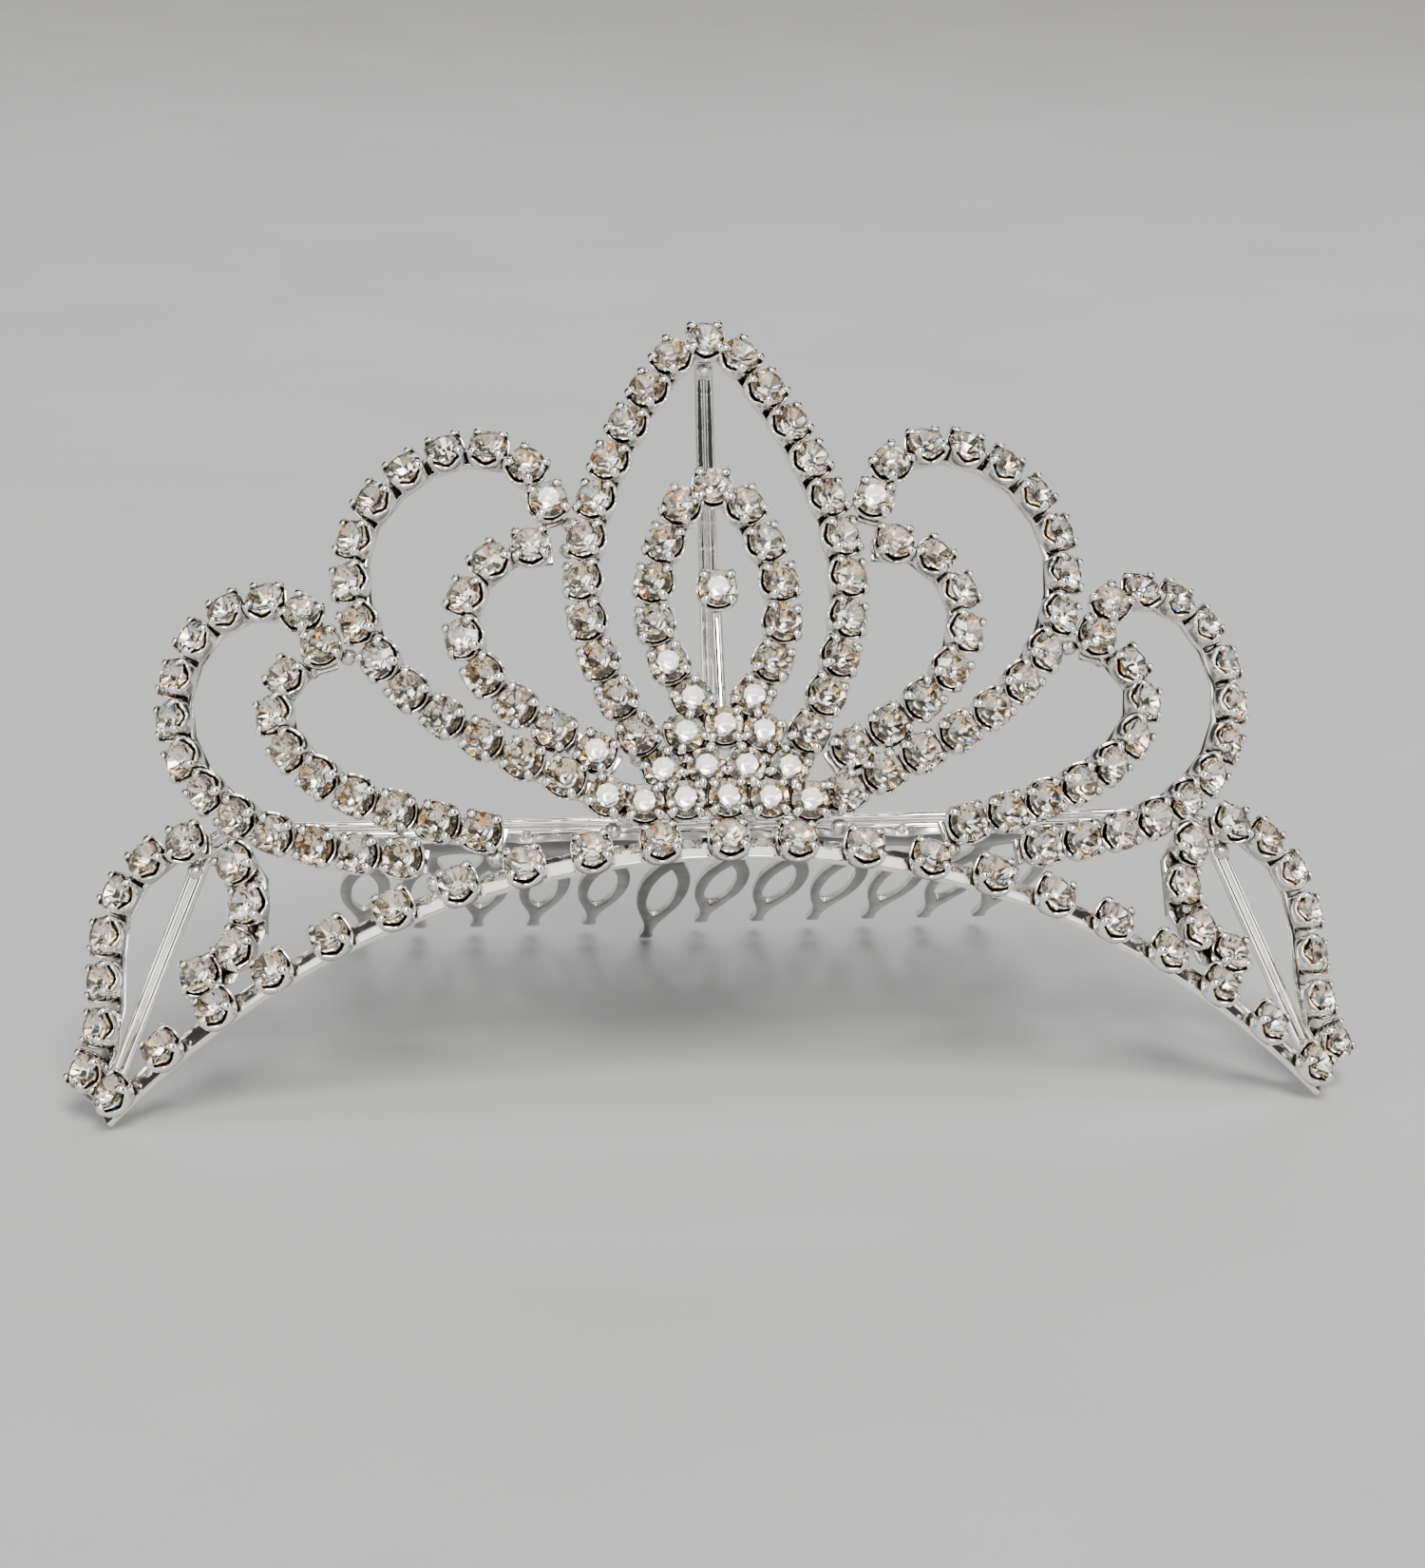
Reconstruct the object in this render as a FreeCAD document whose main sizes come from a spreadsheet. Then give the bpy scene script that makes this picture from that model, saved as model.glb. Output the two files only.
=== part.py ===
import FreeCAD
import Part
import math
import os

# Bridal tiara: crystal cup-chain scrolls on a curved, backward-leaning face, a double wire
# frame behind them, and a stamped hair comb under the frame.
#
# Frame of the part: +Z up, the crystals face -Y, and +X is the wearer's left, which is on the
# right seen from the front.
# The origin is on the surface that the tiara stands on, below the middle of its outer box.
#
# The chain lies on a cylinder (the face). A place on the face is given as (across, up), the
# lengths measured along the developed face in mm, and a height above it towards the front.

Vector = FreeCAD.Vector

DIMENSIONS = [
    ("face_radius", 109.0, "radius of the curved face"),
    ("face_lean", 33.5, "backward lean of the face, degrees from vertical"),
    ("band_height", 23.1, "height of the middle of the face"),
    ("band_forward", 23.5, "middle of the face ahead of the origin"),
    ("chain_pitch", 3.8, "spacing of cups along a scroll"),
    ("strip_width", 2.0, "width of the chain's metal strip"),
    ("strip_thickness", 0.6, "thickness of the chain's metal strip"),
    ("stone_diameter", 3.25, "crystal, size SS12 to SS13"),
    ("pavilion_depth", 1.2, "depth of the crystal below its girdle"),
    ("girdle_height", 0.2, "height of the crystal's girdle"),
    ("crown_height", 0.5, "height of the crystal above its girdle"),
    ("table_diameter", 1.85, "flat top of the crystal"),
    ("culet_diameter", 0.85, "flat foil-backed point of the crystal"),
    ("cup_base", 3.0, "width of a cup at its foot"),
    ("cup_width", 3.6, "width of a cup at its rim"),
    ("cup_floor", 0.3, "thickness of a cup's floor"),
    ("prong_width", 0.7, "width of a claw"),
    ("prong_thickness", 0.35, "thickness of a claw"),
    ("prong_height", 0.65, "rise of a claw above the cup's rim"),
    ("seat_clearance", 0.04, "gap between the crystal and the cup's cone"),
    ("band_radius", 90.0, "arch of the base band on the developed face"),
    ("band_crown", 2.0, "height of the arch's top above the middle of the face"),
    ("band_pitch", 5.7, "spacing of cups along the band"),
    ("band_cups", 21.0, "cups on the band"),
    ("band_overhang", 2.2, "band beyond the middle of its last cup"),
    ("band_tilt", 20.0, "upward tilt of the band's cups, degrees"),
    ("wire_diameter", 0.8, "frame wire"),
    ("wire_spacing", 0.86, "spacing of the two frame wires"),
    ("bar_depth", 11.4, "rear bar behind the middle of the face"),
    ("bar_rise", 6.2, "rear bar above the middle of the face"),
    ("bar_half_length", 42.4, "half of the rear bar, to its corners"),
    ("leg_reach", 54.0, "foot of the frame's legs, across the face"),
    ("leg_drop", 13.6, "foot of the frame's legs, below the middle of the face"),
    ("wire_bend", 4.0, "bend radius of the frame wire"),
    ("stem_top", 44.8, "top of the centre stem on the face"),
    ("stem_gap", 0.15, "gap between the stem's top and the strip before it"),
    ("drop_rise", 23.5, "height of the drop crystal on the face"),
    ("drop_foot", 13.1, "foot of the drop's post on the face"),
    ("post_diameter", 1.0, "drop's post"),
    ("comb_pitch", 5.36, "spacing of the comb's teeth"),
    ("comb_teeth", 12.0, "number of teeth"),
    ("comb_thickness", 0.7, "comb sheet"),
    ("comb_slope", 29.2, "slope of the comb below horizontal, degrees"),
    ("comb_overlap", 1.2, "comb ahead of the frame wires that it hangs from"),
    ("spine_depth", 4.8, "comb's spine, front to back"),
    ("tooth_length", 36.6, "tooth from the foot of the gaps to its tip"),
    ("bent_tooth", 6.0, "the tooth that is bent down to the surface"),
    ("tooth_bend", 2.3, "bend of that tooth, degrees"),
    ("bead_diameter", 1.7, "solder bead on the chain and the frame"),
    ("comb_bead_diameter", 1.36, "solder bead on the comb"),
    ("bead_sink", 0.3, "how far a bead's middle sinks from the wire to the strip"),
]

# Scrolls of chain for the right half, from the middle of the tiara outwards. Each route holds
# the few points that its curve passes through, as (across, up). The tilt turns the cups about
# the chain, in degrees towards the right-hand side of the way the route runs, and is spread
# evenly from the route's start to its end.
PAIRED_SCROLLS = {
    "tall_scroll": {
        "route": [(8.2, 4.8), (17, 9.4), (25, 14.6), (30.4, 21.6), (31.2, 29.2), (26, 36),
                  (18.6, 37.2), (13.5, 30)],
        "tilt": [0, 0, 8, 20, 28, 30, 26, 5],
    },
    "tall_inner_scroll": {
        "route": [(9.0, 8.6), (15, 12.2), (19.6, 16.1), (22, 21.3), (20.2, 26.3), (13.7, 27.9)],
        "tilt": [0, 4, 14, 27, 27, 8],
    },
    "side_scroll": {
        "route": [(25.2, 1.3), (33.5, 2.9), (40.8, 6), (46.6, 12), (47.3, 19.6), (42.2, 25.3),
                  (36.4, 25), (33.5, 18.8)],
        "tilt": [5, 12, 20, 28, 32, 30, 25, 5],
    },
    "side_inner_scroll": {
        "route": [(18.6, 2.8), (26, 5.0), (31.6, 7.4), (36.2, 10.7), (38.5, 14.8), (35.8, 19.7)],
        "tilt": [0, 8, 17, 27, 30, 12],
    },
    "end_scroll": {
        "route": [(44.3, 5.2), (50, 4.2), (53.4, 0.5), (54.2, -6), (56.8, -15)],
        "tilt": [-8, -20, -28, -26, -18],
    },
    "end_hook": {
        "route": [(42.8, 4.3), (40.5, 0.4), (41.0, -3.8), (46.9, -6.9)],
        "tilt": [-12, -16, -14, -5],
    },
}

# Loops that close over the middle: the route is the right half, from its foot to the top.
CENTRE_PETALS = {
    "centre_outer_petal": {
        "route": [(4.2, 6.3), (9.2, 14.8), (11.5, 23.5), (10.2, 31.5), (6.6, 39.4), (1.9, 46.0)],
        "tilt": [0, 10, 20, 22, 20, 20],
    },
    "centre_inner_petal": {
        "route": [(1.4, 12.5), (4.9, 18), (5.7, 23), (4.3, 28), (1.9, 32.6)],
        "tilt": [0, 5, 12, 15, 15],
    },
}

# Short strips that fill the foot of the petals and tie them to the band. Those on the middle
# line come first, then those of the right half, which the left half mirrors.
MIDDLE_TIES = [
    [(0, 3.7), (0, 6.9)],
    [(0, 9.9), (0, 13.1)],
]
SIDE_TIES = [
    [(0.9, 6.5), (4.0, 12.4)],
    [(3.5, 3.5), (3.5, 6.9)],
    [(6.9, 3.3), (6.9, 6.7)],
]

# Half of a comb tooth and of the slot in it, from the root to the tip. Each point is a half
# width over the teeth's pitch and a place over the tooth's length.
TOOTH_OUTLINE = [(0.15, 0.04), (0.15, 0.12), (0.328, 0.27), (0.42, 0.48), (0.315, 0.67),
                 (0.15, 0.81)]
SLOT_OUTLINE = [(0.0, 0.22), (0.168, 0.34), (0.223, 0.49), (0.151, 0.66), (0.0, 0.745)]

# Round shapes cut in the comb's sheet, over the teeth's pitch.
TIP_RADIUS = 0.125
GAP_RADIUS = 0.36
SCALLOP_RADIUS = 0.6
SCALLOP_DEPTH = 0.16

# Where two strands are soldered together on the back, as (across, up) on the right half.
STRAND_JOINTS = [
    (12.2, 30.2), (12.5, 27.9), (31.8, 20.0), (35.0, 19.2), (43.2, 6.3), (19.5, 1.4),
    (24.8, -0.4), (55.2, -13.9), (44.6, -7.9), (9.6, 3.2), (5.0, 3.0), (4.0, 12.3), (7.2, 9.4),
]
MIDDLE_JOINT = (0, 3.6)

# Where the rear wire crosses the back of the side scroll, on the right half.
FRAME_CROSSING = (46.2, 3.0)

# Solder beads along the comb's edge, in steps of its pitch from the middle.
COMB_BEAD_STEPS = (-5, -3, -1, 1, 3, 5)

# How far through the strip the middle of a bead between strands lies.
BEAD_DEPTH = 0.7


# ---------------------------------------------------------------- document and dimensions

doc = FreeCAD.newDocument("tiara")
sheet = doc.addObject("Spreadsheet::Sheet", "dimensions")
for row, (alias, value, note) in enumerate(DIMENSIONS, start=1):
    sheet.set("A%d" % row, alias)
    sheet.set("B%d" % row, str(value))
    sheet.set("C%d" % row, note)
    sheet.setAlias("B%d" % row, alias)
doc.recompute()


def dim(alias):
    return float(sheet.get(alias))


FACE_RADIUS = dim("face_radius")
LEAN = math.radians(dim("face_lean"))
FACE_UP = Vector(0, math.sin(LEAN), math.cos(LEAN))
FACE_BACK = Vector(0, math.cos(LEAN), -math.sin(LEAN))
FACE_MIDDLE = Vector(0, -dim("band_forward"), dim("band_height"))
GIRDLE_RISE = dim("cup_floor") + dim("pavilion_depth")


# ---------------------------------------------------------------- the curved face

def flat_place(x, up, back):
    """A point x across, up and back from the middle of the face, without its curve."""
    return FACE_MIDDLE + Vector(x, 0, 0) + FACE_UP * up + FACE_BACK * back


def face_place(across, up, height=0.0):
    """A point at (across, up) on the curved face, height above it towards the front."""
    turn = across / FACE_RADIUS
    reach = FACE_RADIUS + height
    return flat_place(reach * math.sin(turn), up, FACE_RADIUS - reach * math.cos(turn))


def face_axes(across):
    """The across and outward directions of the face at that place."""
    turn = across / FACE_RADIUS
    sideways = Vector(math.cos(turn), 0, 0) + FACE_BACK * math.sin(turn)
    outward = Vector(math.sin(turn), 0, 0) - FACE_BACK * math.cos(turn)
    return sideways, outward


def mirrored(vector):
    return Vector(-vector.x, vector.y, vector.z)


# ---------------------------------------------------------------- chain geometry

def spread(values, share):
    """The value at that share of an evenly spread list."""
    place = share * (len(values) - 1)
    index = min(int(place), len(values) - 2)
    rest = place - index
    return values[index] * (1 - rest) + values[index + 1] * rest


def strip_stations(route, tilt, pitch):
    """Places where the strip is creased between cups: (middle of the strip, up out of it)."""
    if len(route) == 2:
        curve = Part.LineSegment(Vector(*route[0], 0), Vector(*route[1], 0))
    else:
        curve = Part.BSplineCurve()
        curve.interpolate([Vector(*point, 0) for point in route])
    length = curve.length()
    count = max(1, round(length / pitch))
    stations = []
    for index in range(count + 1):
        share = index / count
        parameter = curve.parameterAtDistance(length * share, curve.FirstParameter)
        spot = curve.value(parameter)
        way = curve.tangent(parameter)[0]
        sideways, outward = face_axes(spot.x)
        lateral = sideways * way.y - FACE_UP * way.x
        lean = math.radians(spread(tilt, share))
        rise = outward * math.cos(lean) + lateral * math.sin(lean)
        depth = GIRDLE_RISE + dim("strip_thickness") / 2
        stations.append((face_place(spot.x, spot.y) - rise * depth, rise))
    return stations


def mirror_stations(stations):
    return [(mirrored(middle), mirrored(rise)) for middle, rise in stations]


def strip_solid(stations, width):
    """A flat metal strip creased at each station."""
    half_width = width / 2
    half_thickness = dim("strip_thickness") / 2
    outlines = []
    for index, (middle, rise) in enumerate(stations):
        before = stations[max(index - 1, 0)][0]
        after = stations[min(index + 1, len(stations) - 1)][0]
        way = (after - before).normalize()
        across = way.cross(rise).normalize() * half_width
        thick = across.cross(way).normalize() * half_thickness
        corners = [middle + across + thick, middle - across + thick,
                   middle - across - thick, middle + across - thick]
        outlines.append(Part.makePolygon(corners + corners[:1]))
    return Part.makeLoft(outlines, True, True)


def seat_placements(stations):
    """Where the cups sit: one on the middle of each straight run of the strip."""
    places = []
    for (first, rise_a), (second, rise_b) in zip(stations, stations[1:]):
        way = (second - first).normalize()
        rise = rise_a + rise_b
        rise = (rise - way * rise.dot(way)).normalize()
        foot = (first + second) * 0.5 + rise * (dim("strip_thickness") / 2)
        turn = FreeCAD.Rotation(way, rise.cross(way), rise, "ZXY")
        places.append(FreeCAD.Placement(foot, turn))
    return places


def group_at(pattern, placements):
    """Separate copies of one solid, one at each placement."""
    copies = []
    for placement in placements:
        copy = pattern.Shape.copy()
        copy.Placement = placement
        copies.append(copy)
    return copies[0] if len(copies) == 1 else Part.makeCompound(copies)


# ---------------------------------------------------------------- wires and beads

def rounded_path(corners, radius):
    """Straight runs joined by arcs of that radius at the corners."""
    edges = []
    start = corners[0]
    for before, corner, after in zip(corners, corners[1:], corners[2:]):
        into = (before - corner).normalize()
        out = (after - corner).normalize()
        half_angle = into.getAngle(out) / 2
        setback = radius / math.tan(half_angle)
        arc_start = corner + into * setback
        arc_end = corner + out * setback
        centre = corner + (into + out).normalize() * (radius / math.sin(half_angle))
        arc_middle = centre + (corner - centre).normalize() * radius
        edges.append(Part.makeLine(start, arc_start))
        edges.append(Part.Arc(arc_start, arc_middle, arc_end).toShape())
        start = arc_end
    edges.append(Part.makeLine(start, corners[-1]))
    return Part.Wire(edges)


def round_wire(path, diameter):
    """A round wire along the path."""
    first = path.Edges[0]
    start = first.valueAt(first.FirstParameter)
    way = first.tangentAt(first.FirstParameter)
    section = Part.Wire([Part.makeCircle(diameter / 2, start, way)])
    return path.makePipeShell([section], True, False)


def bead(middle, diameter):
    return Part.makeSphere(diameter / 2, middle)


# ---------------------------------------------------------------- document objects

sub_parts = []


def add_shape(label, shape):
    """A sub-part whose shape is worked out from the sheet."""
    feature = doc.addObject("Part::Feature", label)
    feature.Label = label
    feature.Shape = shape
    feature.Placement = shape.Placement
    sub_parts.append(feature)


def bound(type_name, label, sizes, base=None, turn=None):
    """A document primitive whose sizes, and the place of its base, follow the sheet."""
    primitive = doc.addObject(type_name, label)
    primitive.Label = label
    if turn is not None:
        primitive.Placement = FreeCAD.Placement(Vector(), turn)
    for name, expression in sizes.items():
        primitive.setExpression(name, expression)
    for axis, expression in (base or {}).items():
        primitive.setExpression("Placement.Base." + axis, expression)
    return primitive


def add_straight_wire(label, foot, top, diameter):
    """A sub-part that is a straight round wire, its thickness bound to that alias."""
    way = top - foot
    wire = bound("Part::Cylinder", label, {"Radius": "dimensions.%s / 2" % diameter})
    wire.Height = way.Length
    wire.Placement = FreeCAD.Placement(foot, FreeCAD.Rotation(Vector(0, 0, 1), way))
    sub_parts.append(wire)


def combine(type_name, label, shapes):
    result = doc.addObject(type_name, label)
    result.Label = label
    result.Shapes = shapes
    return result


def cut(label, base, tool):
    result = doc.addObject("Part::Cut", label)
    result.Label = label
    result.Base = base
    result.Tool = tool
    return result


def make_stone_pattern():
    """One crystal: a coned back with a flat foil point, a girdle and a coned crown."""
    pavilion = bound("Part::Cone", "stone_pavilion", {
        "Radius1": "dimensions.culet_diameter / 2",
        "Radius2": "dimensions.stone_diameter / 2",
        "Height": "dimensions.pavilion_depth",
    }, {"z": "dimensions.cup_floor"})
    girdle = bound("Part::Cylinder", "stone_girdle", {
        "Radius": "dimensions.stone_diameter / 2",
        "Height": "dimensions.girdle_height",
    }, {"z": "dimensions.cup_floor + dimensions.pavilion_depth"})
    crown = bound("Part::Cone", "stone_crown", {
        "Radius1": "dimensions.stone_diameter / 2",
        "Radius2": "dimensions.table_diameter / 2",
        "Height": "dimensions.crown_height",
    }, {"z": "dimensions.cup_floor + dimensions.pavilion_depth + dimensions.girdle_height"})
    return combine("Part::MultiFuse", "stone_pattern", [pavilion, girdle, crown])


def make_cup_pattern():
    """One claw cup: a tapered square basket with cut corners, a coned seat and four claws."""
    taper = "(dimensions.cup_width - dimensions.cup_base) / 2"
    rim = "dimensions.cup_floor + dimensions.pavilion_depth"
    lay_up = FreeCAD.Rotation(Vector(1, 0, 0), 90)
    basket = bound("Part::Wedge", "cup_basket", {
        "Xmin": "-dimensions.cup_base / 2",
        "Xmax": "dimensions.cup_base / 2",
        "Zmin": "-dimensions.cup_base / 2",
        "Zmax": "dimensions.cup_base / 2",
        "Ymin": "0",
        "Ymax": rim,
        "X2min": "-dimensions.cup_base / 2 - " + taper,
        "X2max": "dimensions.cup_base / 2 + " + taper,
        "Z2min": "-dimensions.cup_base / 2 - " + taper,
        "Z2max": "dimensions.cup_base / 2 + " + taper,
    }, turn=lay_up)
    claw_reach = "(dimensions.stone_diameter / 2 + dimensions.prong_thickness)"
    corner_cut = bound("Part::Prism", "cup_corners", {
        "Circumradius": claw_reach + " * 1.41421356",
        "Height": rim,
    })
    corner_cut.Polygon = 4
    body = combine("Part::MultiCommon", "cup_body", [basket, corner_cut])
    seat = bound("Part::Cone", "cup_seat", {
        "Radius1": "dimensions.culet_diameter / 2 + dimensions.seat_clearance",
        "Radius2": "dimensions.stone_diameter / 2 + dimensions.seat_clearance",
        "Height": "dimensions.pavilion_depth",
    }, {"z": "dimensions.cup_floor"})
    seated = cut("cup_seated", body, seat)
    claws = []
    for index in range(4):
        direction = math.radians(45 + 90 * index)
        cosine = "%.6f" % math.cos(direction)
        sine = "%.6f" % math.sin(direction)
        turn = FreeCAD.Rotation(Vector(0, 0, 1), 45 + 90 * index)
        inner = "(dimensions.stone_diameter / 2)"
        half = "(dimensions.prong_width / 2)"
        claws.append(bound("Part::Box", "claw_%d" % (index + 1), {
            "Length": "dimensions.prong_thickness",
            "Width": "dimensions.prong_width",
            "Height": "dimensions.prong_height",
        }, {
            "x": "%s * (%s) + %s * (%s)" % (inner, cosine, half, sine),
            "y": "%s * (%s) - %s * (%s)" % (inner, sine, half, cosine),
            "z": rim,
        }, turn=turn))
    return combine("Part::MultiFuse", "cup_pattern", [seated] + claws)


stone_pattern = make_stone_pattern()
cup_pattern = make_cup_pattern()
doc.recompute()


# ---------------------------------------------------------------- chain strands

def add_strand(name, runs):
    """A strand's strip, its cups and its crystals, from one or more runs of stations."""
    strips = [strip_solid(stations, dim("strip_width")) for stations in runs]
    seats = [place for stations in runs for place in seat_placements(stations)]
    add_shape(name + "_strip", strips[0] if len(strips) == 1 else Part.makeCompound(strips))
    add_shape(name + "_cups", group_at(cup_pattern, seats))
    add_shape(name + "_stones", group_at(stone_pattern, seats))
    return len(seats)


def add_band():
    """The base band: one arched strip, creased at each cup and between cups."""
    radius = dim("band_radius")
    cups = int(dim("band_cups"))
    half_run = (cups - 1) / 2 * dim("band_pitch")
    upward_tilt = math.radians(dim("band_tilt"))
    depth = GIRDLE_RISE + dim("strip_thickness") / 2
    half_seat = dim("cup_base") / 2

    def station(run):
        turn = run / radius
        across = radius * math.sin(turn)
        up = dim("band_crown") - radius * (1 - math.cos(turn))
        sideways, outward = face_axes(across)
        lateral = sideways * math.sin(turn) + FACE_UP * math.cos(turn)
        rise = outward * math.cos(upward_tilt) + lateral * math.sin(upward_tilt)
        return face_place(across, up) - rise * depth, rise

    stations = [station(-half_run - dim("band_overhang"))]
    seats = []
    for index in range(cups):
        run = -half_run + index * dim("band_pitch")
        seat = [station(run - half_seat), station(run + half_seat)]
        stations += seat
        seats += seat_placements(seat)
    stations.append(station(half_run + dim("band_overhang")))
    add_shape("base_band_strip", strip_solid(stations, dim("strip_width")))
    add_shape("base_band_cups", group_at(cup_pattern, seats))
    add_shape("base_band_stones", group_at(stone_pattern, seats))
    return cups


stones = add_band()
for name, petal in CENTRE_PETALS.items():
    half = strip_stations(petal["route"], petal["tilt"], dim("chain_pitch"))
    stones += add_strand(name, [half + mirror_stations(half)[::-1]])
for name, scroll in PAIRED_SCROLLS.items():
    run = strip_stations(scroll["route"], scroll["tilt"], dim("chain_pitch"))
    stones += add_strand("right_" + name, [run])
    stones += add_strand("left_" + name, [mirror_stations(run)])
middle_ties = [strip_stations(route, [0, 0], dim("chain_pitch")) for route in MIDDLE_TIES]
side_ties = [strip_stations(route, [0, 0], dim("chain_pitch")) for route in SIDE_TIES]
mirrored_ties = [mirror_stations(stations) for stations in side_ties]
stones += add_strand("base_cluster", middle_ties + side_ties + mirrored_ties)


# ---------------------------------------------------------------- centre drop

def add_drop():
    """One crystal in a cup on a straight post that stands on the foot of the inner petal."""
    back = -(GIRDLE_RISE + dim("post_diameter") / 2)
    _, outward = face_axes(0)
    seat_foot = face_place(0, dim("drop_rise"), -GIRDLE_RISE)
    turn = FreeCAD.Rotation(FACE_UP, outward.cross(FACE_UP), outward, "ZXY")
    seat = [FreeCAD.Placement(seat_foot, turn)]
    add_shape("drop_cup", group_at(cup_pattern, seat))
    add_shape("drop_stone", group_at(stone_pattern, seat))
    top = face_place(0, dim("drop_rise") + dim("cup_base") / 2, back)
    foot = face_place(0, dim("drop_foot"), back)
    add_straight_wire("drop_post", foot, top, "post_diameter")


add_drop()


# ---------------------------------------------------------------- wire frame behind the face

WIRE_BEHIND = GIRDLE_RISE + dim("strip_thickness") + dim("wire_diameter") / 2


def frame_corners(side, offset):
    """The corner and foot of a frame wire's half, moved by offset towards its outer side."""
    half_bar = dim("bar_half_length")
    leg = math.atan2(dim("bar_rise") + dim("leg_drop"), dim("leg_reach") - half_bar)
    mitre = math.tan(leg / 2)
    corner = flat_place(side * (half_bar + offset * mitre), dim("bar_rise") + offset,
                        dim("bar_depth"))
    across = dim("leg_reach") + offset * math.sin(leg)
    up = -dim("leg_drop") + offset * math.cos(leg)
    return [corner, face_place(side * across, up, -WIRE_BEHIND)]


def add_rear_frame():
    for name, side_of_pair in (("rear_wire_outer", 0.5), ("rear_wire_inner", -0.5)):
        offset = side_of_pair * dim("wire_spacing")
        left = frame_corners(-1, offset)
        right = frame_corners(1, offset)
        path = rounded_path(left[::-1] + right, dim("wire_bend"))
        add_shape(name, round_wire(path, dim("wire_diameter")))


def add_centre_stem():
    low = dim("bar_rise") + dim("wire_spacing") / 2 + dim("wire_diameter") / 2
    top_behind = WIRE_BEHIND + dim("stem_gap")
    for name, side in (("stem_wire_left", -0.5), ("stem_wire_right", 0.5)):
        x = side * dim("wire_spacing")
        foot = flat_place(x, low, dim("bar_depth"))
        top = flat_place(x, dim("stem_top"), top_behind)
        add_straight_wire(name, foot, top, "wire_diameter")


add_rear_frame()
add_centre_stem()


# ---------------------------------------------------------------- hair comb

def spindle(profile):
    """A closed face, the same both sides of its middle line, from (half width, along)."""
    right = Part.BSplineCurve()
    right.interpolate([Vector(half, along, 0) for half, along in profile])
    left = Part.BSplineCurve()
    left.interpolate([Vector(-half, along, 0) for half, along in reversed(profile)])
    edges = [right.toShape()]
    if profile[-1][0] > 0:
        half, along = profile[-1]
        edges.append(Part.Arc(Vector(half, along, 0), Vector(0, along + half, 0),
                              Vector(-half, along, 0)).toShape())
    edges.append(left.toShape())
    if profile[0][0] > 0:
        half, along = profile[0]
        edges.append(Part.makeLine(Vector(-half, along, 0), Vector(half, along, 0)))
    return Part.Face(Part.Wire(edges))


def tooth_face():
    """One looped tooth: a long spindle with a slot, drawn out to a round-ended tip."""
    pitch = dim("comb_pitch")
    length = dim("tooth_length")
    tip = TIP_RADIUS * pitch
    outline = [(half * pitch, along * length) for half, along in TOOTH_OUTLINE]
    slot = [(half * pitch, along * length) for half, along in SLOT_OUTLINE]
    return spindle(outline + [(tip, length - tip)]).cut(spindle(slot))


def comb_solid():
    """The comb lies flat here: x across, y along the teeth, z through the sheet."""
    pitch = dim("comb_pitch")
    teeth = int(dim("comb_teeth"))
    spine = dim("spine_depth")
    thickness = dim("comb_thickness")
    root_half_width, root_along = TOOTH_OUTLINE[0]
    gap_radius = GAP_RADIUS * pitch
    scallop_radius = SCALLOP_RADIUS * pitch
    scallop_depth = SCALLOP_DEPTH * pitch
    first = -(teeth - 1) / 2 * pitch
    half = root_half_width * pitch - first
    through = Vector(0, 0, thickness)

    plate = Part.makeBox(2 * half, spine + gap_radius - scallop_depth, thickness,
                         Vector(-half, scallop_depth, 0))
    limits = Part.makeBox(2 * half, 2 * spine, thickness, Vector(-half, 0, 0))
    scallops = []
    gaps = []
    tooth_solids = []
    for index in range(teeth):
        middle = first + index * pitch
        edge = Part.makeCylinder(scallop_radius, thickness, Vector(middle, scallop_radius, 0))
        scallops.append(edge.common(limits))
        tooth = tooth_face().extrude(through)
        if index + 1 == int(dim("bent_tooth")):
            hinge = Vector(0, root_along * dim("tooth_length"), thickness)
            tooth.rotate(hinge, Vector(1, 0, 0), -dim("tooth_bend"))
        tooth.translate(Vector(middle, spine, 0))
        tooth_solids.append(tooth)
    for index in range(teeth - 1):
        centre = Vector(first + (index + 0.5) * pitch, spine + gap_radius, 0)
        gaps.append(Part.makeCylinder(gap_radius, thickness, centre))
    comb = plate.fuse(scallops).cut(gaps).fuse(tooth_solids)
    return comb.removeSplitter()


def add_comb():
    slope = math.radians(dim("comb_slope"))
    along = Vector(0, math.cos(slope), -math.sin(slope))
    normal = Vector(0, math.sin(slope), math.cos(slope))
    turn = FreeCAD.Rotation(Vector(1, 0, 0), along, normal, "ZXY")
    drop = dim("wire_spacing") / 2 + dim("wire_diameter") / 2 + dim("comb_thickness")
    corner = flat_place(0, dim("bar_rise") - drop, dim("bar_depth"))
    corner -= along * dim("comb_overlap")
    comb = comb_solid()
    comb.Placement = FreeCAD.Placement(corner, turn)
    add_shape("hair_comb", comb)
    return corner, along, normal


comb_corner, comb_along, comb_normal = add_comb()


# ---------------------------------------------------------------- solder

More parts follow.
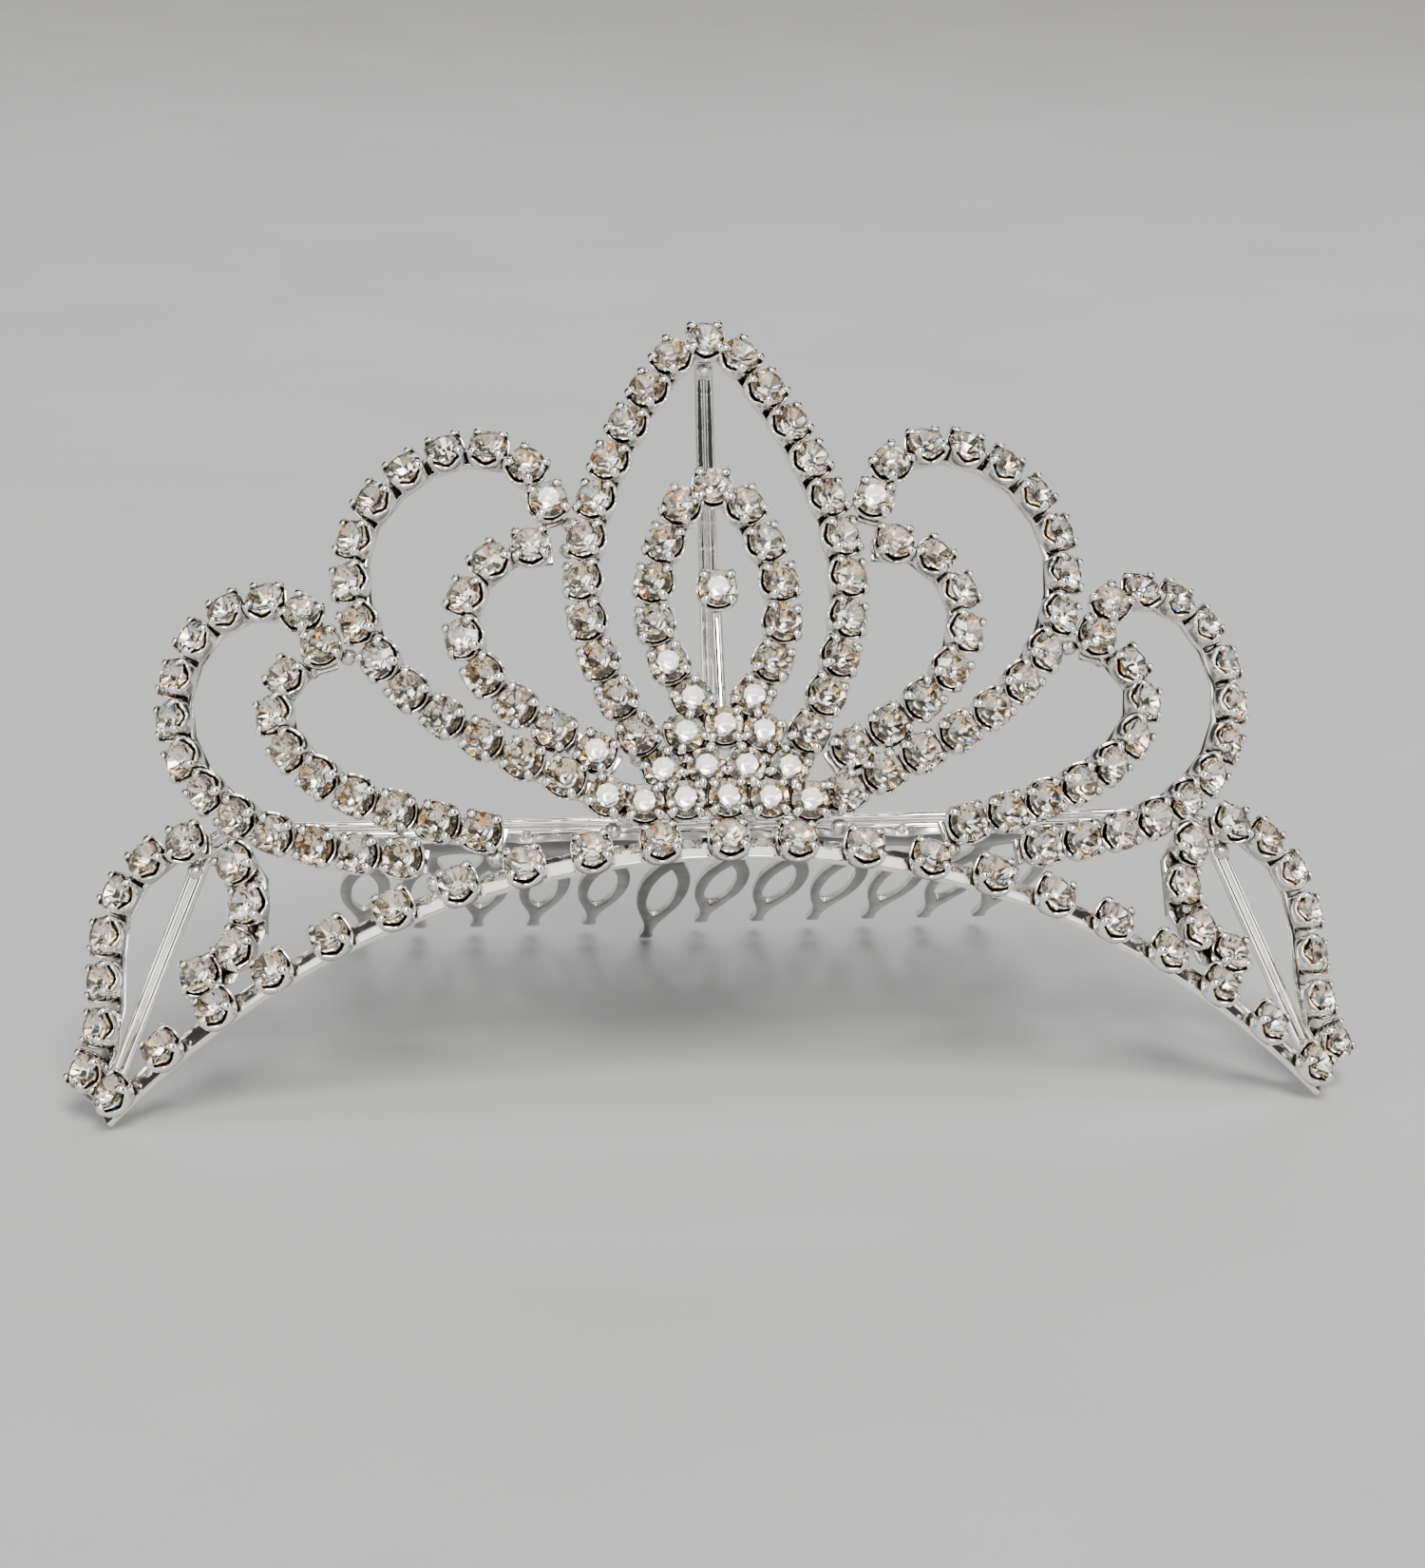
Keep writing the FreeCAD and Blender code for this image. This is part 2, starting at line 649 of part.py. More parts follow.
def add_solder():
    size = dim("bead_diameter")
    behind = -(GIRDLE_RISE + BEAD_DEPTH * dim("strip_thickness"))
    sink = dim("bead_sink")
    strand_beads = [bead(face_place(*MIDDLE_JOINT, behind), size)]
    for across, up in STRAND_JOINTS:
        for side in (-1, 1):
            strand_beads.append(bead(face_place(side * across, up, behind), size))
    add_shape("strand_solder", Part.makeCompound(strand_beads))

    frame_beads = [
        bead(flat_place(0, dim("stem_top") - size / 2, WIRE_BEHIND - sink), size),
        bead(flat_place(0, dim("bar_rise") + size / 2, dim("bar_depth")), size),
    ]
    for side in (-1, 1):
        for across, up in (FRAME_CROSSING, (dim("leg_reach"), -dim("leg_drop"))):
            frame_beads.append(bead(face_place(side * across, up, sink - WIRE_BEHIND), size))
    add_shape("frame_solder", Part.makeCompound(frame_beads))

    comb_beads = []
    edge = comb_corner + comb_along * dim("comb_overlap") + comb_normal * dim("comb_thickness")
    for step in COMB_BEAD_STEPS:
        spot = edge + Vector(step * dim("comb_pitch"), 0, 0)
        comb_beads.append(bead(spot, dim("comb_bead_diameter")))
    add_shape("comb_solder", Part.makeCompound(comb_beads))


add_solder()


# ---------------------------------------------------------------- checks and files

doc.recompute()
for item in doc.Objects:
    if "Invalid" in item.State or "Error" in item.State:
        raise RuntimeError("%s failed: %s" % (item.Label, item.State))
for item in sub_parts:
    if item.Shape.isNull() or not item.Shape.isValid():
        raise RuntimeError("%s has no valid shape" % item.Label)

os.makedirs("parts", exist_ok=True)
for item in sub_parts:
    item.Shape.exportStep("parts/%s.step" % item.Label)

whole = Part.makeCompound([item.Shape for item in sub_parts])
box = whole.BoundBox
for item in sub_parts:
    if item.Shape.BoundBox.ZMin < 1.0:
        print("%s reaches down to %.2f" % (item.Label, item.Shape.BoundBox.ZMin))
print("nodes %d, crystals %d" % (len(sub_parts), stones + 1))
print("x %.2f..%.2f  y %.2f..%.2f  z %.2f..%.2f"
      % (box.XMin, box.XMax, box.YMin, box.YMax, box.ZMin, box.ZMax))
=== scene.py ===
import cmath
import math
import random

import bmesh
import bpy
import numpy as np
from mathutils import Matrix, Vector, noise


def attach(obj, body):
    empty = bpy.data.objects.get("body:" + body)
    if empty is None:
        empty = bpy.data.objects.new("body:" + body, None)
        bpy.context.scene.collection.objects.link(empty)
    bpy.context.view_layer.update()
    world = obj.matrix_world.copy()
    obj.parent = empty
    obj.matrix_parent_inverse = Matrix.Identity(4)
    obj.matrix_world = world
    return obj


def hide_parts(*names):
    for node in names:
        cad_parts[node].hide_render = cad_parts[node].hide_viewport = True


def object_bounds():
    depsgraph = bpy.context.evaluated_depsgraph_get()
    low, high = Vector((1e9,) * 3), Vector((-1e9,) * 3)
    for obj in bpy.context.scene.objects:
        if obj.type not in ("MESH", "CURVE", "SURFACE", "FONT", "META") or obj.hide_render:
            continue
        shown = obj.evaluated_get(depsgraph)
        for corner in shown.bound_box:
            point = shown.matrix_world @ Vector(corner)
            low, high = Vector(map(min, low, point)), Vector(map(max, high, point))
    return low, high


# Bridal tiara: rhinestone cup chain soldered into scrolls, a double wire frame and a hair comb.
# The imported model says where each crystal, strip and wire is. This script cuts the crystals'
# facets, forms the claw cups, rounds the stamped edges and gives every piece its finish.

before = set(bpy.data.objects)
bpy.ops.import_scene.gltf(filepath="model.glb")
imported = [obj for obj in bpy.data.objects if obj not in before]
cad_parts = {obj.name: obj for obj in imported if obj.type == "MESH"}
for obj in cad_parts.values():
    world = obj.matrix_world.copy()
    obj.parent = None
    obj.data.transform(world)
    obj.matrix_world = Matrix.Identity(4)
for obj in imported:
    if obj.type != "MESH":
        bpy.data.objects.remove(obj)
cad_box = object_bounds()

MM = 0.001
WELD = 0.002 * MM
rng = random.Random(12)

# The chain's own sizes, in mm above the strip and out from the cup's middle.
CUP_FLOOR = 0.3
CUP_RIM = 1.5
STONE_RADIUS = 1.625
CULET_RADIUS = 0.425
TABLE_RADIUS = 0.925
GIRDLE_TOP = 1.7
STONE_TOP = 2.2
CLAW_LOW = 1.75
CLAW_REACH = 2.05


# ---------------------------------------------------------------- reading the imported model

def welded(node):
    """A CAD node's mesh with its doubled corners joined."""
    mesh = bmesh.new()
    mesh.from_mesh(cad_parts[node].data)
    bmesh.ops.remove_doubles(mesh, verts=mesh.verts, dist=WELD)
    mesh.normal_update()
    return mesh


def loose_parts(mesh):
    """The separate closed solids of a mesh, each a list of faces."""
    seen = set()
    parts = []
    for first in mesh.faces:
        if first in seen:
            continue
        seen.add(first)
        part = [first]
        for face in part:
            for edge in face.edges:
                for neighbour in edge.link_faces:
                    if neighbour not in seen:
                        seen.add(neighbour)
                        part.append(neighbour)
        parts.append(part)
    return parts


# Cosine above which two faces count as one flat side.
SAME_WAY = 0.9999


def table_of(faces):
    """The middle and the direction of a crystal's table, the largest flat side it has."""
    sides = []
    for face in faces:
        area = face.calc_area()
        for side in sides:
            if side["way"].dot(face.normal) > SAME_WAY:
                break
        else:
            side = {"way": face.normal.copy(), "area": 0.0, "moment": Vector()}
            sides.append(side)
        side["area"] += area
        side["moment"] += face.calc_center_median() * area
    table = max(sides, key=lambda side: side["area"])
    return table["moment"] / table["area"], table["way"]


def side_of_cup(foot, axis, corners):
    """The direction along one side of the square cup, found from its four claws."""
    across = axis.orthogonal().normalized()
    other = axis.cross(across)
    offsets = corners - np.array(foot)
    rise = offsets @ np.array(axis)
    x = offsets @ np.array(across)
    y = offsets @ np.array(other)
    claws = (rise > CLAW_LOW * MM) & (rise < STONE_TOP * MM) & (np.hypot(x, y) < CLAW_REACH * MM)
    fourfold = np.exp(4j * np.arctan2(y[claws], x[claws])).sum()
    turn = cmath.phase(fourfold) / 4 - math.pi / 4
    return across * math.cos(turn) + other * math.sin(turn)


def seats(stones_node, cups_node):
    """The place of each cup, its origin on the strip and its Z out through the crystal."""
    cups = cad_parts[cups_node].data
    corners = np.empty(len(cups.vertices) * 3)
    cups.vertices.foreach_get("co", corners)
    corners = corners.reshape(-1, 3)
    mesh = welded(stones_node)
    places = []
    for part in loose_parts(mesh):
        table, axis = table_of(part)
        foot = table - axis * STONE_TOP * MM
        side = side_of_cup(foot, axis, corners)
        turn = Matrix((side, axis.cross(side), axis)).transposed()
        places.append(Matrix.Translation(foot) @ turn.to_4x4() @ Matrix.Scale(MM, 4))
    mesh.free()
    return places


# ---------------------------------------------------------------- making pieces

def finish_piece(mesh, name, materials, replaced):
    """Turns a finished mesh into a piece that rides with the tiara."""
    data = bpy.data.meshes.new(name)
    mesh.to_mesh(data)
    mesh.free()
    for material in materials:
        data.materials.append(material)
    piece = bpy.data.objects.new(name, data)
    bpy.context.scene.collection.objects.link(piece)
    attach(piece, "root")
    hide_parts(replaced)
    return piece


def smooth_between(mesh, sharpest):
    """Smooth shading, with edges sharper than that many degrees kept crisp."""
    limit = math.radians(sharpest)
    for face in mesh.faces:
        face.smooth = True
    for edge in mesh.edges:
        edge.smooth = len(edge.link_faces) == 2 and edge.calc_face_angle(0.0) < limit


def skin(mesh, rings):
    """Quads between rings of points, closed at both ends."""
    rows = [[mesh.verts.new(point) for point in ring] for ring in rings]
    count = len(rows[0])
    for low, high in zip(rows, rows[1:]):
        for index in range(count):
            after = (index + 1) % count
            mesh.faces.new((low[index], low[after], high[after], high[index]))
    mesh.faces.new(rows[0][::-1])
    mesh.faces.new(rows[-1])


# ---------------------------------------------------------------- claw cups

# How far the cup's rim dips between the claws, and how square the cup is (2 would be round).
CUP_DIP = 0.7
CUP_SQUARENESS = 3.3
CUP_SIDES = 24

# The cup's wall from the foot, over the rim and down inside: (half width, share of the rim's
# height). The claws' middle line in the plane of their corner: (distance out, height).
CUP_WALL = [(1.38, 0.0), (1.50, 0.05), (1.63, 0.45), (1.79, 0.94), (1.77, 1.0), (1.60, 1.0),
            (1.52, 0.93), (1.36, 0.68), (0.62, 0.28)]
CLAW_LINE = [(1.76, 0.70), (1.86, 1.20), (1.90, 1.58), (1.86, 1.86), (1.66, 2.02),
             (1.38, 2.06), (1.22, 2.02)]
CLAW_HALF_WIDTHS = [0.30, 0.36, 0.38, 0.38, 0.37, 0.32, 0.17]
CLAW_HALF_THICKNESS = 0.19
CLAW_SIDES = 8

# A claw gets thinner where its half width is below this.
CLAW_THINS_BELOW = 0.25

# How unevenly the claws are bent: mm in or out over the line's last points, which bend over the
# crown, and degrees about the cup's axis.
CLAW_TIP_SPREAD = 0.05
BENT_POINTS = 3
CLAW_SKEW = 3


def rounded_square(angle):
    """Distance out, at that angle, of a rounded square whose sides are 1 away."""
    cosine = abs(math.cos(angle)) ** CUP_SQUARENESS
    sine = abs(math.sin(angle)) ** CUP_SQUARENESS
    return (cosine + sine) ** (-1 / CUP_SQUARENESS)


def add_cup_wall(mesh, place):
    """A square cup with rounded corners, its rim highest at the four claws."""
    rings = []
    for half_width, share in CUP_WALL:
        ring = []
        for index in range(CUP_SIDES):
            angle = 2 * math.pi * index / CUP_SIDES
            reach = half_width * rounded_square(angle)
            rim = CUP_RIM - CUP_DIP * math.cos(2 * angle) ** 2
            ring.append(place @ Vector((reach * math.cos(angle), reach * math.sin(angle),
                                        share * rim)))
        rings.append(ring)
    skin(mesh, rings)


def add_claw(mesh, place, turn):
    """One claw: a flattened tongue that rises at a corner and bends in over the crown."""
    spread = rng.uniform(-CLAW_TIP_SPREAD, CLAW_TIP_SPREAD)
    skew = math.radians(rng.uniform(-CLAW_SKEW, CLAW_SKEW))
    frame_turn = place @ Matrix.Rotation(turn + skew, 4, "Z")
    line = [Vector((out, 0, height)) for out, height in CLAW_LINE]
    for point in line[-BENT_POINTS:]:
        point.x += spread
    rings = []
    for index, point in enumerate(line):
        way = (line[min(index + 1, len(line) - 1)] - line[max(index - 1, 0)]).normalized()
        outward = Vector((0, 1, 0)).cross(way)
        half_width = CLAW_HALF_WIDTHS[index]
        half_thickness = CLAW_HALF_THICKNESS * min(1.0, half_width / CLAW_THINS_BELOW)
        ring = []
        for side in range(CLAW_SIDES):
            angle = 2 * math.pi * side / CLAW_SIDES
            ring.append(frame_turn @ (point + Vector((0, half_width, 0)) * math.cos(angle)
                                      + outward * half_thickness * math.sin(angle)))
        rings.append(ring)
    skin(mesh, rings)


def add_cup(mesh, place):
    """One claw cup: the wall and a claw at each corner."""
    add_cup_wall(mesh, place)
    for corner in range(4):
        add_claw(mesh, place, math.radians(45 + 90 * corner))


# ---------------------------------------------------------------- crystals

FACETS = 8
GLASS, FOIL = 0, 1

# The foiled back bellies out under the girdle before it closes in.
BELLY_RADIUS = 1.45
BELLY_HEIGHT = 0.88

# Most that a crystal leans in its cup, in degrees, and the range of painted brightness on its
# facets, a painted shine that stands in for facets catching more or less light.
STONE_LEAN = 2.5
FOIL_PAINTED_SHINE = (0.85, 1.05)

# Tones of the foil seen through the glass: (share of facets, colour). The pale tones are the
# foil's tint; the dark brown is painted dark reflection, and the gold, orange and blue are
# painted fire.
FOIL_TONES_AND_PAINTED_LIGHT = [
    (0.48, (1.0, 0.95, 0.86)),
    (0.32, (0.90, 0.82, 0.70)),
    (0.05, (0.36, 0.26, 0.17)),
    (0.08, (1.0, 0.82, 0.50)),
    (0.04, (0.98, 0.58, 0.30)),
    (0.03, (0.60, 0.76, 1.0)),
]


def foil_tone_and_painted_light():
    """A random tone for one facet, with an opaque alpha: the foil's tint on most facets, painted
    reflection and painted fire on some, all with a painted brighter or darker shine.
    """
    pick = rng.random()
    for share, tone in FOIL_TONES_AND_PAINTED_LIGHT:
        if pick < share:
            break
        pick -= share
    light = rng.uniform(*FOIL_PAINTED_SHINE)
    return [min(1.0, channel * light) for channel in tone] + [1.0]


def ring_points(mesh, place, radius, height, count):
    """Corners evenly around the crystal's axis."""
    points = []
    for index in range(count):
        angle = 2 * math.pi * index / count
        points.append(mesh.verts.new(place @ Vector((radius * math.cos(angle),
                                                     radius * math.sin(angle), height))))
    return points


def add_crystal(mesh, place, colour):
    """A round stone: an eight-sided table, a faceted crown, a girdle and a foiled back."""
    turn = Matrix.Rotation(rng.uniform(0, 2 * math.pi), 4, "Z")
    lean = Matrix.Rotation(math.radians(rng.uniform(-STONE_LEAN, STONE_LEAN)), 4, "X")
    middle = Matrix.Translation((0, 0, CUP_RIM))
    place = place @ middle @ turn @ lean @ middle.inverted()
    table = ring_points(mesh, place, TABLE_RADIUS, STONE_TOP, FACETS)
    crown = ring_points(mesh, place, STONE_RADIUS, GIRDLE_TOP, 2 * FACETS)
    belt = ring_points(mesh, place, STONE_RADIUS, CUP_RIM, 2 * FACETS)
    belly = ring_points(mesh, place, BELLY_RADIUS, BELLY_HEIGHT, 2 * FACETS)
    culet = ring_points(mesh, place, CULET_RADIUS, CUP_FLOOR, FACETS)

    def facet(corners, material):
        face = mesh.faces.new(corners)
        face.material_index = material
        # Each facet's colour: mostly the foil's tint; some facets carry a painted dark
        # reflection, some painted fire.
        tone = foil_tone_and_painted_light()
        for loop in face.loops:
            loop[colour] = tone

    facet(table, GLASS)
    facet(culet[::-1], FOIL)
    for index in range(FACETS):
        after = (index + 1) % FACETS
        here, between, there = 2 * index, 2 * index + 1, (2 * index + 2) % (2 * FACETS)
        facet((table[index], crown[here], crown[between]), GLASS)
        facet((table[index], crown[between], table[after]), GLASS)
        facet((table[after], crown[between], crown[there]), GLASS)
        facet((belly[here], culet[index], belly[between]), FOIL)
        facet((culet[index], culet[after], belly[between]), FOIL)
        facet((belly[between], culet[after], belly[there]), FOIL)
        for first, second in ((here, between), (between, there)):
            facet((crown[first], belt[first], belt[second], crown[second]), GLASS)
            facet((belt[first], belly[first], belly[second], belt[second]), FOIL)


# ---------------------------------------------------------------- strips, comb and solder

# Angles between faces, in degrees: below FLAT they are one flat face, above CUT_EDGE the edge
# was cut and gets rounded. Radii of those rounded edges are in mm.
FLAT = 1
CUT_EDGE = 50
ROUNDING_STEPS = 3
STRIP_ROUNDING = 0.1
COMB_ROUNDING = 0.14

# Edges sharper than this, in degrees, stay crisp in the shading.
CRISP_STAMPED = 28
CRISP_CUP = 50
CRISP_SOLDER = 80

# A comb face is a sheared wall where the cosine between its normal and the sheet's is below this.
CUT_WALL_LIMIT = 0.5

# Solder's skin: lumps per radius, the blob's size over the CAD bead's, and the lumps' height.
SOLDER_LUMPS = 1.6
SOLDER_SIZE = 0.9
SOLDER_SWELL = 0.12
SOLDER_SUBDIVISIONS = 3


def rounded_copy(node, name, radius, materials):
    """A CAD node with its cut edges rounded, as stamped and tumbled metal has them."""
    mesh = welded(node)
    bmesh.ops.dissolve_limit(mesh, angle_limit=math.radians(FLAT), verts=mesh.verts,
                             edges=mesh.edges, delimit=set())
    sharp = [edge for edge in mesh.edges
             if len(edge.link_faces) == 2 and edge.calc_face_angle(0.0) > math.radians(CUT_EDGE)]
    bmesh.ops.bevel(mesh, geom=sharp, offset=radius * MM, offset_type="OFFSET",
                    segments=ROUNDING_STEPS, profile=0.5, affect="EDGES", clamp_overlap=False)
    bmesh.ops.remove_doubles(mesh, verts=mesh.verts, dist=WELD)
    bmesh.ops.triangulate(mesh, faces=[face for face in mesh.faces if len(face.verts) > 4])
    smooth_between(mesh, CRISP_STAMPED)
    return finish_piece(mesh, name, materials, node)


def paint_highlight_on_cut_walls(comb):
    """The second material, a painted highlight of bright silver, on the comb's sheared walls,
    which stand across its two faces.
    """
    sheet = Vector()
    for face in comb.data.polygons:
        if face.normal.z > 0:
            sheet += face.normal * face.area
    sheet.normalize()
    for face in comb.data.polygons:
        if abs(face.normal.dot(sheet)) < CUT_WALL_LIMIT:
            face.material_index = 1


def add_blob(mesh, middle, radius):
    """A solder blob: a low lump that wetted the metal and froze with a dimpled skin."""
    seed = Vector((rng.uniform(0, 50), rng.uniform(0, 50), rng.uniform(0, 50)))
    stretch = Vector((rng.uniform(0.92, 1.0), rng.uniform(0.8, 0.95), rng.uniform(0.85, 1.0)))
    made = bmesh.ops.create_icosphere(mesh, subdivisions=SOLDER_SUBDIVISIONS, radius=1.0)
    for vertex in made["verts"]:
        way = vertex.co.normalized()
        swell = SOLDER_SIZE + SOLDER_SWELL * noise.noise(way * SOLDER_LUMPS + seed)
        vertex.co = middle + way * stretch * (radius * swell)


def solder_blobs(node, name, material):
    """A blob in place of each of the CAD node's plain beads."""
    source = welded(node)
    mesh = bmesh.new()
    for part in loose_parts(source):
        corners = {vertex for face in part for vertex in face.verts}
        low = Vector([min(vertex.co[axis] for vertex in corners) for axis in range(3)])
        high = Vector([max(vertex.co[axis] for vertex in corners) for axis in range(3)])
        add_blob(mesh, (low + high) / 2, (high.x - low.x) / 2)
    source.free()
    smooth_between(mesh, CRISP_SOLDER)
    return finish_piece(mesh, name, [material], node)


# ---------------------------------------------------------------- materials

def new_material(name):
    """A material, its node tree and its shader."""
    material = bpy.data.materials.new(name)
    material.use_nodes = True
    return material, material.node_tree, material.node_tree.nodes["Principled BSDF"]


def noise_node(tree, scale, detail=4.0):
    """Noise in the object's own space, its scale in lumps per millimetre."""
    place = tree.nodes.new("ShaderNodeTexCoord").outputs["Object"]
    texture = tree.nodes.new("ShaderNodeTexNoise")
    texture.inputs["Scale"].default_value = scale / MM
    texture.inputs["Detail"].default_value = detail
    tree.links.new(place, texture.inputs["Vector"])
    return texture.outputs["Fac"]


def ramp(tree, value, stops):
    """A colour ramp over value, from (place, colour or grey) stops."""
    node = tree.nodes.new("ShaderNodeValToRGB")
    elements = node.color_ramp.elements
    while len(elements) < len(stops):
        elements.new(0.5)
    for element, (place, colour) in zip(elements, stops):
        element.position = place
        element.color = (*colour, 1.0) if isinstance(colour, tuple) else (colour,) * 3 + (1.0,)
    tree.links.new(value, node.inputs["Fac"])
    return node.outputs["Color"]


def bump(tree, shader, height, strength, depth):
    """Fine relief up to depth mm."""
    node = tree.nodes.new("ShaderNodeBump")
    node.inputs["Strength"].default_value = strength
    node.inputs["Distance"].default_value = depth * MM
    tree.links.new(height, node.inputs["Height"])
    tree.links.new(node.outputs["Normal"], shader.inputs["Normal"])


# Painted shade where other metal closes in, a brown that darkens the metal's colour there: its
# colour, and in mm how near other metal has to be.
CREVICE_SHADE_BROWN = (0.20, 0.15, 0.10)
CREVICE_REACH = 0.75
CREVICE_SAMPLES = 8
GRAIN_STRENGTH = 0.35
GLASS_IOR = 1.56


def paint_crevice_shade(tree, colour, reach):
    """The colour with painted shade: browner where other metal closes in around it within reach
    mm.
    """
    openness = tree.nodes.new("ShaderNodeAmbientOcclusion")
    openness.inputs["Distance"].default_value = reach * MM
    openness.samples = CREVICE_SAMPLES
    shade = ramp(tree, openness.outputs["AO"], [(0.25, CREVICE_SHADE_BROWN), (0.7, 1.0)])
    mix = tree.nodes.new("ShaderNodeMix")
    mix.data_type = "RGBA"
    mix.blend_type = "MULTIPLY"
    factor = next(socket for socket in mix.inputs if socket.name == "Factor")
    factor.default_value = 1.0
    first, second = [socket for socket in mix.inputs if socket.type == "RGBA"]
    tree.links.new(colour, first)
    tree.links.new(shade, second)
    return next(socket for socket in mix.outputs if socket.type == "RGBA")


def plated_metal(name, dull, bright, smoothest, roughest, grain, depth, crevice_shade=True):
    """Plated metal: cloudy colour, uneven polish, a fine tumbled grain and a painted shade that
    browns it near other metal.
    """
    material, tree, shader = new_material(name)
    shader.inputs["Metallic"].default_value = 1.0
    cloud = noise_node(tree, 0.35)
    polish = noise_node(tree, 1.3)
    fine = noise_node(tree, grain, detail=6.0)
    colour = ramp(tree, cloud, [(0.32, dull), (0.62, bright)])
    # Painted shade: the colour turns brown where other metal is near, as if shade fell there.
    if crevice_shade:
        colour = paint_crevice_shade(tree, colour, CREVICE_REACH)
    tree.links.new(colour, shader.inputs["Base Color"])
    tree.links.new(ramp(tree, polish, [(0.3, smoothest), (0.75, roughest)]),
                   shader.inputs["Roughness"])
    bump(tree, shader, fine, GRAIN_STRENGTH, depth)
    return material


def crystal_glass():
    """Clear glass with a trace of warmth and faint wear."""
    material, tree, shader = new_material("crystal_glass")
    shader.inputs["Transmission Weight"].default_value = 1.0
    shader.inputs["IOR"].default_value = GLASS_IOR
    cloud = noise_node(tree, 0.5, detail=2.0)
    tree.links.new(ramp(tree, cloud, [(0.3, (0.97, 0.95, 0.92)), (0.7, (1.0, 1.0, 1.0))]),
                   shader.inputs["Base Color"])
    wear = noise_node(tree, 2.2, detail=5.0)
    tree.links.new(ramp(tree, wear, [(0.55, 0.0), (0.8, 0.06)]), shader.inputs["Roughness"])
    return material


def crystal_foil():
    """The mirror foil on the crystals' backs, in each facet's own tone, which carries painted
    reflections and painted fire.
    """
    material, tree, shader = new_material("crystal_foil")
    shader.inputs["Metallic"].default_value = 1.0
    tone = tree.nodes.new("ShaderNodeVertexColor")
    tone.layer_name = "tone"
    tree.links.new(tone.outputs["Color"], shader.inputs["Base Color"])
    wear = noise_node(tree, 1.5)
    tree.links.new(ramp(tree, wear, [(0.3, 0.05), (0.7, 0.16)]), shader.inputs["Roughness"])
    return material


silver = plated_metal(
    "silver_plate", dull=(0.82, 0.80, 0.76), bright=(0.96, 0.94, 0.90),
    smoothest=0.05, roughest=0.15, grain=6.0, depth=0.008)
cup_silver = plated_metal(
    "cup_silver", dull=(0.76, 0.74, 0.70), bright=(0.97, 0.95, 0.91),
    smoothest=0.05, roughest=0.17, grain=9.0, depth=0.012)
wire_silver = plated_metal(
    "wire_silver", dull=(0.92, 0.90, 0.87), bright=(0.98, 0.96, 0.93),
    smoothest=0.02, roughest=0.06, grain=1.5, depth=0.002,
    crevice_shade=False)
solder = plated_metal(
    "solder", dull=(0.60, 0.59, 0.56), bright=(0.84, 0.82, 0.79),
    smoothest=0.16, roughest=0.34, grain=4.0, depth=0.03)
# Painted dark reflection: the comb's faces are silver darkened all over as if they mirrored a
# dark floor; its cut walls get bright silver as a painted highlight.
comb_painted_dark_reflection = plated_metal(
    "comb_painted_dark_reflection", dull=(0.17, 0.17, 0.165), bright=(0.32, 0.32, 0.31),
    smoothest=0.08, roughest=0.2, grain=5.0, depth=0.008,
    crevice_shade=False)
comb_edge_painted_highlight = plated_metal(
    "comb_edge_painted_highlight", dull=(0.62, 0.61, 0.59), bright=(0.9, 0.89, 0.86),
    smoothest=0.25, roughest=0.4, grain=5.0, depth=0.008,
    crevice_shade=False)
glass = crystal_glass()
foil = crystal_foil()


# ---------------------------------------------------------------- the tiara

def dress_seats(stones_node, cups_node, stones_name, cups_name):
    """Claw cups and cut crystals in place of the CAD's plain ones."""
    cups = bmesh.new()
    crystals = bmesh.new()
    # The facets' tones, with painted reflections and painted fire among them.
    colour = crystals.loops.layers.float_color.new("tone")
    for place in seats(stones_node, cups_node):
        add_cup(cups, place)
        add_crystal(crystals, place, colour)
    smooth_between(cups, CRISP_CUP)
    finish_piece(cups, cups_name, [cup_silver], cups_node)
    finish_piece(crystals, stones_name, [glass, foil], stones_node)


strands = sorted(node[:-len("_strip")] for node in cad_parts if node.endswith("_strip"))
for strand in strands:
    rounded_copy(strand + "_strip", strand + "_ribbon", STRIP_ROUNDING, [silver])
    dress_seats(strand + "_stones", strand + "_cups", strand + "_crystals",
                strand + "_claw_cups")
dress_seats("drop_stone", "drop_cup", "drop_crystal", "drop_claw_cup")
comb = rounded_copy("hair_comb", "stamped_comb", COMB_ROUNDING, [comb_painted_dark_reflection, comb_edge_painted_highlight])
# The cut walls take the bright painted highlight, the flat faces keep the painted dark
# reflection.
paint_highlight_on_cut_walls(comb)
for node in ("strand_solder", "frame_solder", "comb_solder"):
    solder_blobs(node, node + "_blobs", solder)

for node in ("rear_wire_outer", "rear_wire_inner", "stem_wire_left", "stem_wire_right",
             "drop_post"):
    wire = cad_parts[node]
    wire.data.materials.clear()
    wire.data.materials.append(wire_silver)


# ---------------------------------------------------------------- floor, light and camera

# In metres: the floor's width, the gap under the tiara, and where the lamps point.
FLOOR_SIZE = 8.0
FLOOR_GAP = 0.0002
LIGHT_AIM = Vector((0, 0, 0.03))
WARM = (1.0, 0.975, 0.94)
COOL = (0.94, 0.97, 1.0)


def add_floor():
    """A plain pale floor that shows but is no part of the tiara."""
    mesh = bmesh.new()
    bmesh.ops.create_grid(mesh, x_segments=8, y_segments=8, size=FLOOR_SIZE / 2)
    data = bpy.data.meshes.new("floor")
    mesh.to_mesh(data)
    mesh.free()
    material, tree, shader = new_material("pale_floor")
    cloud = noise_node(tree, 0.02)
    tree.links.new(ramp(tree, cloud, [(0.3, 0.41), (0.7, 0.44)]), shader.inputs["Base Color"])
    shader.inputs["Roughness"].default_value = 0.55
    data.materials.append(material)
    floor = bpy.data.objects.new("floor", data)
    floor.location.z = cad_box[0][2] - FLOOR_GAP
    bpy.context.scene.collection.objects.link(floor)


